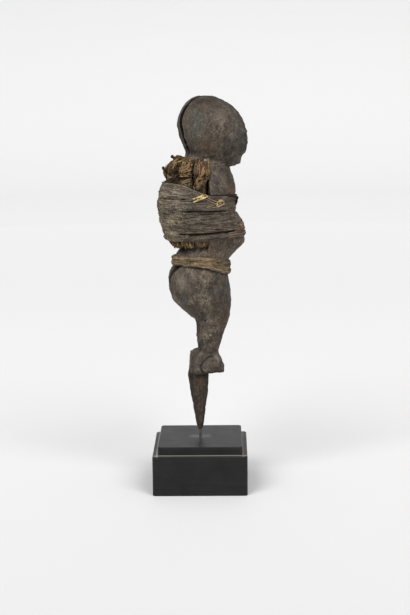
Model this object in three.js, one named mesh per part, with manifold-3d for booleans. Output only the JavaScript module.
// A carved wooden figure on a stake, bound with bundles of fibre, on a stepped black plinth.
// Millimetres, +Z up. The origin is the centre of the plinth's underside.
// The figure faces +X, turned a little towards +Y.
import * as THREE from "three";
import { mergeVertices } from "three/addons/utils/BufferGeometryUtils.js";
import Module from "manifold-3d";

const wasm = await Module();
wasm.setup();

// Plinth
const plinthSide = 70;
const plinthBlockHeight = 30;
const plinthStepHeight = 6.2;
const plinthLedge = 4;
const plinthEdge = 0.6;
const plinthCorner = 1.2;

// Figure
const figureHeight = 252.2;
const figureTurn = 14;
const tipLift = 2.6;

// Pin between the plinth and the point of the stake
const pinDiameter = 1.8;
const pinInPlinth = 14;
const pinInStake = 22;

// Bindings and their fits
const clearance = 0.3;
const rollCount = 6;
const rollGap = 0.5;
const rollLength = 66;
const wrapWall = 2;
const wrapSlitDepth = 0.9;
const wrapSlitWidth = 1.3;
const beltWall = 2.1;
const chestCordDiameter = 2.2;
const strawDiameter = 1.2;

// Drying crack at the back of the head
const crackDepth = 5.5;
const crackWidth = 3.2;

// Facets
const trunkSides = 36;
const headSides = 24;
const limbSides = 12;
const rollSides = 8;

const unit = figureHeight / 100;
const plinthHeight = plinthBlockHeight + plinthStepHeight;
const tipHeight = plinthHeight + tipLift;
const trunkAxis = 2 * unit;
const degree = Math.PI / 180;

function smooth(from, to, value) {
  const share = Math.min(1, Math.max(0, (value - from) / (to - from)));
  return share * share * (3 - 2 * share);
}

function mix(first, second, share) {
  return first + (second - first) * share;
}

function bump(centre, width, value) {
  return Math.exp(-(((value - centre) / width) ** 2));
}

// A smooth run through the values given at some heights, with no swing past them
function slopeAt(heights, values, index) {
  const last = heights.length - 1;
  const rise = (from) => (values[from + 1] - values[from]) / (heights[from + 1] - heights[from]);
  if (index === 0) return rise(0);
  if (index === last) return rise(last - 1);
  const before = rise(index - 1);
  const after = rise(index);
  return before * after <= 0 ? 0 : (2 * before * after) / (before + after);
}

function valueAt(heights, values, height) {
  const last = heights.length - 1;
  if (height <= heights[0]) return values[0];
  if (height >= heights[last]) return values[last];
  const index = heights.findIndex((entry) => entry > height) - 1;
  const span = heights[index + 1] - heights[index];
  const share = (height - heights[index]) / span;
  const start = slopeAt(heights, values, index) * span;
  const end = slopeAt(heights, values, index + 1) * span;
  const square = share * share;
  const cube = square * share;
  return (
    values[index] * (2 * cube - 3 * square + 1) +
    start * (cube - 2 * square + share) +
    values[index + 1] * (3 * square - 2 * cube) +
    end * (cube - square)
  );
}

// Rows are height, back, front and half width, in percent of the figure's height.
// Heights start at the point of the stake. Without an axis, each section has its own centre.
function profile(rows, axis = null, squareness = 2) {
  const heights = rows.map((row) => row[0] * unit);
  const columns = [1, 2, 3].map((column) => rows.map((row) => row[column] * unit));
  const section = (height) => {
    const [back, front, side] = columns.map((values) => valueAt(heights, values, height));
    return { side, centre: axis ?? (back + front) / 2, back, front };
  };
  const radius = (angle, height) => {
    const { back, front, side, centre } = section(height);
    const along = Math.cos(angle) >= 0 ? front - centre : centre - back;
    const forward = (Math.abs(Math.cos(angle)) / along) ** squareness;
    const sideways = (Math.abs(Math.sin(angle)) / side) ** squareness;
    return (forward + sideways) ** (-1 / squareness);
  };
  return { heights, section, radius };
}

const stake = profile([
  [0, -0.25, 0.25, 0.25],
  [1.4, -0.75, 0.7, 0.65],
  [3.4, -1.45, 1.2, 1.25],
  [7.5, -2.15, 1.75, 1.85],
  [13, -2.85, 2.45, 2.5],
  [18.2, -3.6, 2.7, 2.9],
  [20.2, -3.2, 2.5, 2.9],
]);

const leg = profile([
  [23, 0.8, 5.4, 2.1],
  [25.6, 0.05, 5.15, 2.05],
  [29.4, -0.5, 6.45, 2.3],
  [33.1, -0.3, 7.8, 2.75],
  [36, -1.4, 8.8, 3.1],
  [40, -2.7, 8.9, 3.2],
]);

const trunk = profile(
  [
    [34.4, -0.6, 8.0, 4.2],
    [35.7, -2.6, 9.0, 5.4],
    [37.9, -5.3, 9.4, 6.3],
    [40.3, -8.0, 9.4, 7.0],
    [43.9, -9.2, 9.1, 7.5],
    [47.2, -9.45, 8.6, 7.4],
    [49.4, -8.7, 8.4, 6.9],
    [51, -7.6, 8.5, 6.3],
    [52.4, -7.1, 8.7, 5.95],
    [53.6, -6.9, 9.6, 5.9],
    [55.6, -5.8, 11.9, 6.1],
    [57.6, -5.2, 13.7, 7.0],
    [59.1, -5.6, 13.6, 7.9],
    [60.5, -6.0, 12.9, 8.7],
    [63, -6.5, 12.6, 9.4],
    [65.3, -6.8, 11.0, 9.8],
    [67.6, -6.8, 9.7, 10.0],
    [70.2, -6.6, 9.8, 9.9],
    [72.4, -6.2, 10.8, 9.6],
    [74.6, -5.9, 10.75, 8.7],
    [77, -5.4, 10.1, 7.6],
    [79.4, -4.6, 9.2, 6.4],
    [82, -3.8, 8.3, 5.6],
    [84.6, -3.3, 7.5, 5.2],
  ],
  trunkAxis,
  2.2,
);

// The wood behind the rolls, cut in to make room for them
const spine = profile(
  [
    [55.6, -5.6, 11.2, 6.0],
    [57.4, -4.6, 12.9, 5.1],
    [63, -6.2, 12.6, 5.5],
    [70, -6.5, 10, 5.8],
    [77, -5.2, 10, 5.2],
    [82, -3.8, 8.3, 4.9],
    [84.6, -3.3, 7.5, 4.8],
  ],
  trunkAxis,
);

// The outer surface of the rolls
const bundle = profile(
  [
    [56, -7.9, 12.9, 7.2],
    [58.2, -8.7, 12.9, 8.0],
    [60.5, -9.3, 12.9, 8.7],
    [63, -10.0, 12.6, 9.4],
    [66, -10.65, 11.0, 9.85],
    [69, -10.9, 10.0, 10.0],
    [72.4, -10.5, 10.0, 9.6],
    [75, -9.5, 10.0, 9.2],
    [77, -9.5, 10.0, 8.8],
    [79, -10.1, 9.3, 8.7],
    [80.6, -9.2, 8.8, 8.5],
    [82, -7.7, 8.3, 8.1],
    [84, -7.3, 7.5, 7.7],
  ],
  trunkAxis,
  2.2,
);

const head = profile(
  [
    [79.7, 6.6, 10.9, 1.6],
    [80.5, 3.4, 12.7, 3.9],
    [82.2, -1.6, 12.9, 5.9],
    [83.1, -2.9, 13.4, 6.4],
    [83.7, -3.3, 14.3, 6.6],
    [85.5, -4.1, 14.55, 7.1],
    [88.4, -5.3, 14.6, 7.5],
    [91.8, -5.9, 14.0, 7.4],
    [95.2, -5.0, 12.1, 6.4],
    [98, -3.2, 8.9, 4.6],
    [99.4, -1.4, 6.0, 2.7],
    [100, 0.6, 4.0, 1.1],
  ],
  null,
  2.1,
);

// Rolls take up the back of the trunk, from one flank round to the other
const shoulderFrom = 93 * degree;
const shoulderTo = 97 * degree;
const rollArcStart = shoulderTo + 2 * degree;
const rollArc = 2 * Math.PI - 2 * rollArcStart;
const rollBottom = 56.7 * unit;

function turnFromFront(angle) {
  return Math.abs(Math.atan2(Math.sin(angle), Math.cos(angle)));
}

// What lies under the wrap stands back by one more clearance
function setBack(angle, height) {
  const edges = wrapEdges(angle);
  const lower = edges[0];
  const upper = edges[edges.length - 1];
  return clearance * smooth(lower - unit, lower, height) * smooth(upper + unit, upper, height);
}

function woodRadius(angle, height) {
  const turn = turnFromFront(angle);
  const beside = smooth(shoulderFrom, shoulderTo, turn);
  const above = smooth(rollBottom - 2 * unit, rollBottom - unit, height);
  const cut = beside * above;
  const radius = mix(trunk.radius(angle, height), spine.radius(angle, height), cut);
  const cleft = bump(Math.PI, 0.16, turn) * bump(43 * unit, 5 * unit, height) * 1.7 * unit;
  const groove = bump(0, 0.2, turn) * smooth(41 * unit, 34 * unit, height) * 1.2 * unit;
  return radius - cleft - groove - setBack(angle, height);
}

// The surface that the wrap lies on: wood in front, rolls behind
function woundRadius(angle, height) {
  const source = Math.cos(angle) > 0 ? trunk : bundle;
  return source.radius(angle, height);
}

function onRing(angle, radius, centre, height) {
  return new THREE.Vector3(centre + radius * Math.cos(angle), radius * Math.sin(angle), height);
}

function anglesRound(sides) {
  return Array.from({ length: sides }, (_, index) => (index / sides) * 2 * Math.PI);
}

// Angles round the trunk, with a facet edge at each side of both shoulders' steps
function trunkAngles() {
  const angles = anglesRound(trunkSides);
  for (const edge of [shoulderFrom, shoulderTo]) {
    const index = Math.round((edge / 2 / Math.PI) * trunkSides);
    angles[index] = edge;
    angles[trunkSides - index] = 2 * Math.PI - edge;
  }
  return angles;
}

// Skin over rings of equal count, listed upwards and counter-clockwise seen from above
function skin(rings, isLoop) {
  const sides = rings[0].length;
  const points = rings.flat();
  const faces = [];
  const joints = isLoop ? rings.length : rings.length - 1;
  for (let level = 0; level < joints; level += 1) {
    const low = level * sides;
    const high = ((level + 1) % rings.length) * sides;
    for (let index = 0; index < sides; index += 1) {
      const next = (index + 1) % sides;
      faces.push(low + index, low + next, high + next);
      faces.push(low + index, high + next, high + index);
    }
  }
  if (!isLoop) {
    const lid = (ring) => {
      const middle = ring.reduce((sum, point) => sum.add(point), new THREE.Vector3());
      return middle.divideScalar(sides);
    };
    const top = (rings.length - 1) * sides;
    points.push(lid(rings[0]), lid(rings[rings.length - 1]));
    for (let index = 0; index < sides; index += 1) {
      const next = (index + 1) % sides;
      faces.push(points.length - 2, next, index);
      faces.push(points.length - 1, top + index, top + next);
    }
  }
  const geometry = new THREE.BufferGeometry();
  geometry.setFromPoints(points);
  geometry.setIndex(faces);
  return geometry;
}

function solidOf(geometry) {
  const bare = geometry.clone();
  bare.deleteAttribute("normal");
  bare.deleteAttribute("uv");
  const merged = mergeVertices(bare, 1e-4);
  const vertProperties = Float32Array.from(merged.attributes.position.array);
  const triVerts = Uint32Array.from(merged.index.array);
  return new wasm.Manifold(new wasm.Mesh({ numProp: 3, vertProperties, triVerts }));
}

function geometryOf(solid) {
  const { vertProperties, triVerts } = solid.getMesh();
  const geometry = new THREE.BufferGeometry();
  geometry.setAttribute("position", new THREE.BufferAttribute(vertProperties, 3));
  geometry.setIndex(new THREE.BufferAttribute(triVerts, 1));
  geometry.computeVertexNormals();
  return geometry;
}

// Heights at the rows of a profile, with one more between each two that lie in a range
function levelsOf(shape, from, to) {
  return shape.heights.flatMap((height, index) => {
    const next = shape.heights[index + 1];
    const isFine = next !== undefined && height >= from && next <= to;
    return isFine ? [height, (height + next) / 2] : [height];
  });
}

function bodyOf(shape, angles, levels, radiusAt = shape.radius) {
  const rings = levels.map((height) => {
    const { centre } = shape.section(height);
    return angles.map((angle) => onRing(angle, radiusAt(angle, height), centre, height));
  });
  return solidOf(skin(rings, false));
}

function ellipsoid(place, halfSizes, turn = 0, tilt = 0) {
  const ball = new THREE.SphereGeometry(1, 8, 5);
  ball.scale(...halfSizes);
  ball.rotateX(tilt);
  ball.rotateZ(turn);
  ball.translate(place.x, place.y, place.z);
  return solidOf(ball);
}

function uprightRod(diameter, bottom, top, sides = 16) {
  const rod = new THREE.CylinderGeometry(diameter / 2, diameter / 2, top - bottom, sides);
  rod.rotateX(Math.PI / 2);
  rod.translate(0, 0, (top + bottom) / 2);
  return rod;
}

function tubeAlong(points, diameter, sides, steps) {
  const outline = new THREE.Shape();
  anglesRound(sides).forEach((angle, index) => {
    const place = [(Math.cos(angle) * diameter) / 2, (Math.sin(angle) * diameter) / 2];
    if (index === 0) outline.moveTo(...place);
    else outline.lineTo(...place);
  });
  outline.closePath();
  const path = new THREE.CatmullRomCurve3(points);
  return new THREE.ExtrudeGeometry(outline, { extrudePath: path, steps, bevelEnabled: false });
}

// A foot: a thick block with a round heel and a square front, extruded across its width
function footOf(side) {
  const width = 4 * unit;
  const inner = 0.3 * unit;
  const bevel = 0.4 * unit;
  const outline = new THREE.Shape();
  outline.moveTo(-2.5 * unit, 18.7 * unit);
  outline.lineTo(6.45 * unit, 19.1 * unit);
  outline.lineTo(6.55 * unit, 21.3 * unit);
  outline.lineTo(5.7 * unit, 23.4 * unit);
  outline.lineTo(4.7 * unit, 25.3 * unit);
  outline.lineTo(-0.2 * unit, 25.3 * unit);
  outline.quadraticCurveTo(-1.9 * unit, 24.9 * unit, -2.2 * unit, 23.1 * unit);
  outline.closePath();
  const block = new THREE.ExtrudeGeometry(outline, {
    depth: width - 2 * bevel,
    curveSegments: 3,
    bevelThickness: bevel,
    bevelSize: bevel,
    bevelOffset: -bevel,
    bevelSegments: 1,
  });
  block.rotateX(Math.PI / 2);
  const nearEdge = side > 0 ? inner + width - bevel : -inner - bevel;
  block.translate(0, nearEdge, 0);
  return solidOf(block);
}

// The cut that parts heel from ankle on the outside of a foot
function heelCutOf(side) {
  const notch = new THREE.BoxGeometry(1.1 * unit, 1.1 * unit, 4 * unit);
  notch.rotateZ(45 * degree);
  notch.rotateY(36 * degree);
  notch.translate(1.5 * unit, side * 4.75 * unit, 22.9 * unit);
  return solidOf(notch);
}

// A wedge that follows the head's surface, deepest half way up
function crackOf() {
  const angle = 194 * degree;
  const steps = 9;
  const rings = Array.from({ length: steps + 1 }, (_, step) => {
    const height = mix(83, 99, step / steps) * unit;
    const { centre } = head.section(height);
    const surface = head.radius(angle, height);
    const depth = crackDepth * Math.sin(mix(0.12, 0.88, step / steps) * Math.PI) ** 0.5;
    const outside = surface + crackDepth;
    const spread = ((crackWidth / 2) * (outside - surface + depth)) / depth / outside;
    return [
      onRing(angle, surface - depth, centre, height),
      onRing(angle - spread, outside, centre, height),
      onRing(angle + spread, outside, centre, height),
    ];
  });
  return solidOf(skin(rings, false));
}

// A place on the head, by its turn from the front and its height, sunk by a depth
function onHead(angle, height, depth) {
  const { centre } = head.section(height);
  return onRing(angle, head.radius(angle, height) - depth, centre, height);
}

function carveFace(body) {
  const eyeTurn = 24 * degree;
  const brow = 89.6 * unit;
  const eye = 88.2 * unit;
  const mouth = 83.9 * unit;
  const nose = ellipsoid(onHead(0, 87 * unit, 0.5 * unit), [0.75 * unit, 0.7 * unit, 1.9 * unit]);
  const lips = ellipsoid(onHead(0, mouth, 0.35 * unit), [0.6 * unit, 1.3 * unit, 0.22 * unit]);
  let carved = body.add(nose).subtract(lips);
  for (const side of [-1, 1]) {
    const turn = side * eyeTurn;
    const socket = ellipsoid(onHead(turn, eye, -0.35 * unit), [0.9 * unit, 1.7 * unit, 1.1 * unit], turn);
    const lid = ellipsoid(onHead(turn, eye, 0.75 * unit), [0.6 * unit, 1.1 * unit, 0.42 * unit], turn);
    carved = carved.subtract(socket).add(lid);
  }
  const ridge = ellipsoid(onHead(0, brow, 0.75 * unit), [0.7 * unit, 3 * unit, 0.4 * unit]);
  return carved.add(ridge);
}

function makeCarvedFigure() {
  const legSpread = 2.55 * unit;
  let body = bodyOf(trunk, trunkAngles(), levelsOf(trunk, 51 * unit, 73 * unit), woodRadius);
  const skull = bodyOf(head, anglesRound(headSides), levelsOf(head, 91 * unit, figureHeight));
  body = body.add(carveFace(skull).subtract(crackOf()));
  for (const side of [-1, 1]) {
    const limb = bodyOf(leg, anglesRound(limbSides), leg.heights).translate([0, side * legSpread, 0]);
    body = body.add(limb).add(footOf(side)).subtract(heelCutOf(side));
  }
  const web = new THREE.BoxGeometry(5.2 * unit, 1.6 * unit, 5.4 * unit);
  web.translate(-0.1 * unit, 0, 22.6 * unit);
  body = body.add(solidOf(web)).add(bodyOf(stake, anglesRound(limbSides), stake.heights));
  const bore = uprightRod(pinDiameter + 2 * clearance, -unit, pinInStake);
  return body.subtract(solidOf(bore));
}

// One roll of the bundle: a loft that fills its share of the arc between wood and wrap
function makeRoll(index) {
  const share = rollArc / rollCount;
  const middle = rollArcStart + share * (index + 0.5);
  const bottom = rollBottom + Math.sin(index * 1.7) * 0.25 * unit;
  const top = rollBottom + rollLength + Math.sin(index * 2.3 + 0.4) * 0.45 * unit;
  const rim = 0.6 * unit;
  const between = bundle.heights.filter((height) => height > bottom + rim && height < top - rim);
  const levels = [bottom, bottom + rim, ...between, top - rim, top];
  const rings = levels.map((height, level) => {
    const isEnd = level === 0 || level === levels.length - 1;
    const fill = isEnd ? 0.72 : 1;
    const half = share / 2 - rollGap / 2 / bundle.radius(middle, height);
    return anglesRound(rollSides).map((around) => {
      const angle = middle + Math.sin(around) * half * fill;
      const inner = woodRadius(angle, height) + clearance;
      const outer = bundle.radius(angle, height) - setBack(angle, height);
      const radius = mix(inner, outer, 0.5 + 0.5 * Math.cos(around) * fill);
      return onRing(angle, radius, trunkAxis, height);
    });
  });
  return skin(rings, false);
}

// Edges of the wound wrap's bands, from its lower rim to its upper rim, at a turn from the front
function wrapEdges(angle) {
  const turn = turnFromFront(angle);
  const forward = Math.cos(angle);
  const lower = 59.1 + 0.5 * forward;
  const upper = mix(71.9 - 1.2 * bump(0, 38 * degree, turn), 75.4, smooth(85 * degree, 150 * degree, turn));
  return [lower, 60.7 + 0.6 * forward, 62.2 + 0.5 * forward, 66.7, 70.3 - 0.5 * forward, upper].map(
    (height) => height * unit,
  );
}

function wrapSurface(angle, height, thickness) {
  return woundRadius(angle, height) + clearance + thickness;
}

function makeWrap() {
  const angles = trunkAngles();
  const bands = wrapEdges(0).length - 1;
  const row = (heightAt, thickness) =>
    angles.map((angle) => {
      const height = heightAt(angle);
      return onRing(angle, wrapSurface(angle, height, thickness), trunkAxis, height);
    });
  const rings = [];
  for (let band = 0; band < bands; band += 1) {
    const lower = (angle) => wrapEdges(angle)[band];
    const upper = (angle) => wrapEdges(angle)[band + 1];
    const sink = band === 0 ? 0.8 : wrapSlitDepth;
    rings.push(row(lower, wrapWall - sink));
    rings.push(row((angle) => lower(angle) + wrapSlitWidth / 2, wrapWall - 0.2));
    rings.push(row((angle) => (lower(angle) + upper(angle)) / 2, wrapWall + 0.15));
    rings.push(row((angle) => upper(angle) - wrapSlitWidth / 2, wrapWall - 0.2));
  }
  rings.push(row((angle) => wrapEdges(angle)[bands], wrapWall - 0.8));
  const innerSteps = 6;
  for (let step = innerSteps; step >= 0; step -= 1) {
    const inside = (angle) => mix(wrapEdges(angle)[0], wrapEdges(angle)[bands], step / innerSteps);
    rings.push(row(inside, 0));
  }
  return skin(rings, true);
}

// The cord round the chest lies on the wood, just above the wrap's upper rim, and rises over
// the rim into its knot in front
function makeChestCord() {
  const radius = chestCordDiameter / 2;
  const reach = 86 * degree;
  const steps = 20;
  const knotHeight = wrapEdges(0).at(-1);
  const endHeight = knotHeight - 1.4 * unit;
  const knotHalf = 0.66 * unit;
  const endHalf = 0.5 * unit;
  const out = (height, half) => wrapSurface(0, height, wrapWall + 0.15) + clearance + half;
  const points = Array.from({ length: steps + 1 }, (_, step) => {
    const angle = mix(-reach, reach, step / steps);
    const rise = smooth(24 * degree, 3 * degree, turnFromFront(angle));
    const beside = wrapEdges(angle).at(-1) + clearance + radius;
    const lying = trunk.radius(angle, beside) + clearance + radius;
    const height = mix(beside, knotHeight, rise);
    return onRing(angle, mix(lying, out(knotHeight, knotHalf), rise), trunkAxis, height);
  });
  const cord = solidOf(tubeAlong(points, chestCordDiameter, 6, 20));
  const knotPlace = onRing(0, out(knotHeight, knotHalf), trunkAxis, knotHeight);
  const endPlace = onRing(0, out(endHeight, endHalf), trunkAxis, endHeight);
  const knot = ellipsoid(knotPlace, [knotHalf, 1.3 * unit, 1.15 * unit]);
  const end = ellipsoid(endPlace, [endHalf, 0.8 * unit, 1.0 * unit]);
  return geometryOf(cord.add(knot).add(end));
}

// A straw strand lies on the wrap at the figure's right, with a knot at each end
function makeStrawTie() {
  const radius = strawDiameter / 2;
  const rearTurn = -110.5 * degree;
  const foreTurn = -78 * degree;
  const rearHeight = 71.6 * unit;
  const foreHeight = 69.8 * unit;
  const steps = 8;
  const lay = (share, half) => {
    const angle = mix(rearTurn, foreTurn, share);
    const height = mix(rearHeight, foreHeight, share);
    const out = wrapSurface(angle, height, wrapWall + 0.15) + clearance + half;
    return onRing(angle, out, trunkAxis, height);
  };
  const points = Array.from({ length: steps + 1 }, (_, step) => lay(step / steps, radius));
  const strand = solidOf(tubeAlong(points, strawDiameter, 5, 10));
  const knotHalf = 0.55 * unit;
  const rearSize = [knotHalf, 1.8 * unit, 0.75 * unit];
  const foreSize = [knotHalf, 0.85 * unit, 0.85 * unit];
  const rearKnot = ellipsoid(lay(0, knotHalf), rearSize, rearTurn, 25 * degree);
  const foreKnot = ellipsoid(lay(1, knotHalf), foreSize, foreTurn);
  return geometryOf(strand.add(rearKnot).add(foreKnot));
}

// The belt of twisted fibre round the waist, lower in front than behind
function makeBelt() {
  const angles = trunkAngles();
  const lower = (angle) => (49.4 - 1.8 * Math.cos(angle)) * unit;
  const upper = (angle) => (53.1 - 0.9 * Math.cos(angle)) * unit;
  const swell = [0.45, 0.95, 0.72, 1.05, 0.5];
  const row = (share, thickness) =>
    angles.map((angle) => {
      const height = mix(lower(angle), upper(angle), share);
      const radius = woodRadius(angle, height) + clearance + thickness;
      return onRing(angle, radius, trunkAxis, height);
    });
  const rings = swell.map((part, index) => row(index / (swell.length - 1), beltWall * part));
  for (let step = 3; step >= 0; step -= 1) rings.push(row(step / 3, 0));
  return skin(rings, true);
}

// A square ring with cut corners
function squareRing(half, height) {
  const cut = half - plinthCorner;
  const corner = [
    [half, -cut],
    [half, cut],
  ];
  return [0, 1, 2, 3].flatMap((quarter) =>
    corner.map(([x, y]) => new THREE.Vector3(x, y, height).applyAxisAngle(up, (quarter * Math.PI) / 2)),
  );
}

const up = new THREE.Vector3(0, 0, 1);

function makePlinth() {
  const blockHalf = plinthSide / 2;
  const stepHalf = blockHalf - plinthLedge;
  const rings = [
    squareRing(blockHalf - plinthEdge, 0),
    squareRing(blockHalf, plinthEdge),
    squareRing(blockHalf, plinthBlockHeight - plinthEdge),
    squareRing(blockHalf - plinthEdge, plinthBlockHeight),
    squareRing(stepHalf, plinthBlockHeight),
    squareRing(stepHalf, plinthHeight - plinthEdge),
    squareRing(stepHalf - plinthEdge, plinthHeight),
  ];
  const floor = plinthHeight - pinInPlinth - clearance;
  const bore = uprightRod(pinDiameter + 2 * clearance, floor, plinthHeight + plinthEdge);
  return geometryOf(solidOf(skin(rings, false)).subtract(solidOf(bore)));
}

function makePin() {
  const top = tipHeight + pinInStake - clearance;
  return uprightRod(pinDiameter, plinthHeight - pinInPlinth, top, 12);
}

function named(name, geometry, color, roughness, metalness = 0) {
  const material = new THREE.MeshStandardMaterial({ color, roughness, metalness });
  const mesh = new THREE.Mesh(geometry, material);
  mesh.name = name;
  return mesh;
}

const figure = new THREE.Group();
figure.position.z = tipHeight;
figure.rotation.z = figureTurn * degree;
figure.add(named("carved_figure", geometryOf(makeCarvedFigure()), 0x564b42, 0.7));
for (let index = 0; index < rollCount; index += 1) {
  figure.add(named(`back_roll_${index + 1}`, makeRoll(index), 0x6b5231, 0.9));
}
figure.add(named("wound_wrap", makeWrap(), 0x5c544b, 0.9));
figure.add(named("chest_cord", makeChestCord(), 0x2f2925, 0.85));
figure.add(named("straw_tie", makeStrawTie(), 0xb79d63, 0.8));
figure.add(named("waist_belt", makeBelt(), 0x6d583c, 0.9));

const group = new THREE.Group();
group.add(named("plinth", makePlinth(), 0x2d2d2e, 0.35));
group.add(named("mounting_pin", makePin(), 0x9a9a98, 0.4, 1));
group.add(figure);

export default group;
